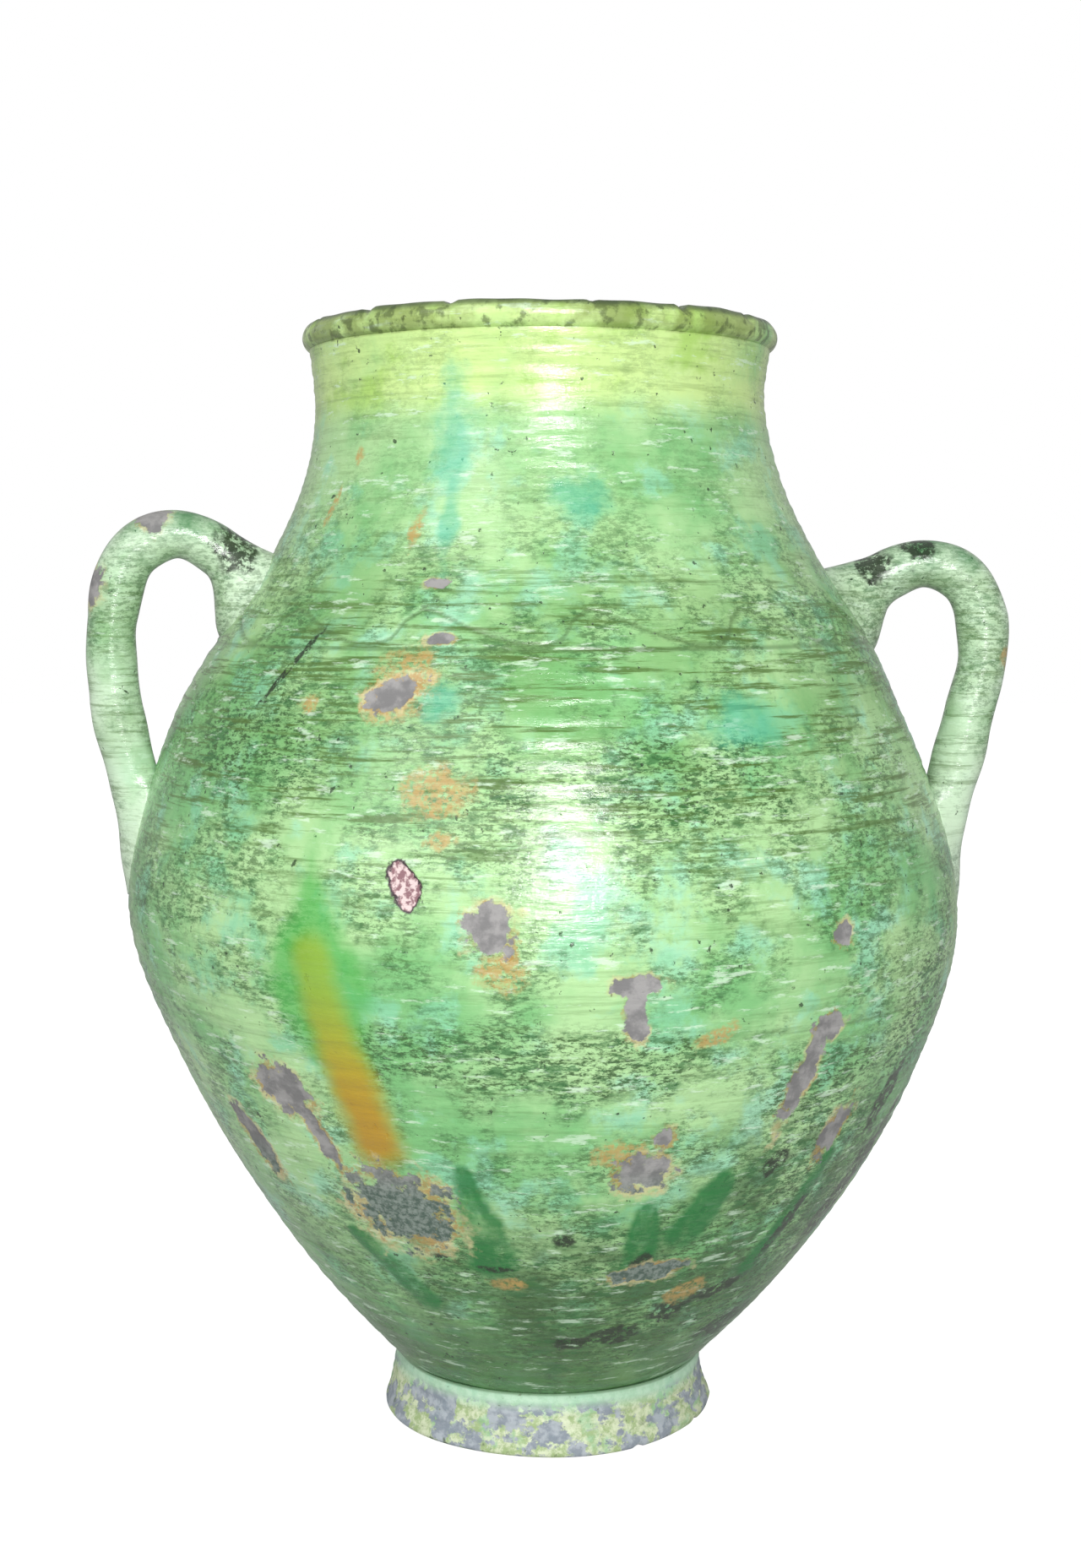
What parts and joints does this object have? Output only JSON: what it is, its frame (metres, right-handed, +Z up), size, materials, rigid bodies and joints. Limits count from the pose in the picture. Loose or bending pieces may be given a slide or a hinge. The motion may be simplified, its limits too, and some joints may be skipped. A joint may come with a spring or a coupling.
{
  "type": "ceramic urn",
  "caption": "Wide-bellied glazed earthenware jar with a flared foot ring, a short neck with a rolled lip, and an ear-shaped handle on each shoulder.",
  "frame": {"origin": "middle of the foot's resting edge, at floor level", "axes": "+Z up along the turning axis, handles along X, front towards -Y"},
  "size_m": [0.4174, 0.378, 0.5],
  "materials": {
    "green_glaze": "gloss",
    "dark_glaze": "gloss",
    "worn_glaze": "matte",
    "bare_clay": "matte"
  },
  "bodies": {
    "root": {"foot_ring": "worn_glaze", "lower_bowl": "green_glaze", "upper_bowl": "green_glaze", "neck_collar": "green_glaze", "lip_roll": "dark_glaze", "left_handle": "green_glaze", "right_handle": "green_glaze", "foot_seam_coil": "bare_clay", "belly_seam_coil": "bare_clay", "neck_seam_coil": "bare_clay"}
  },
  "joints": []
}
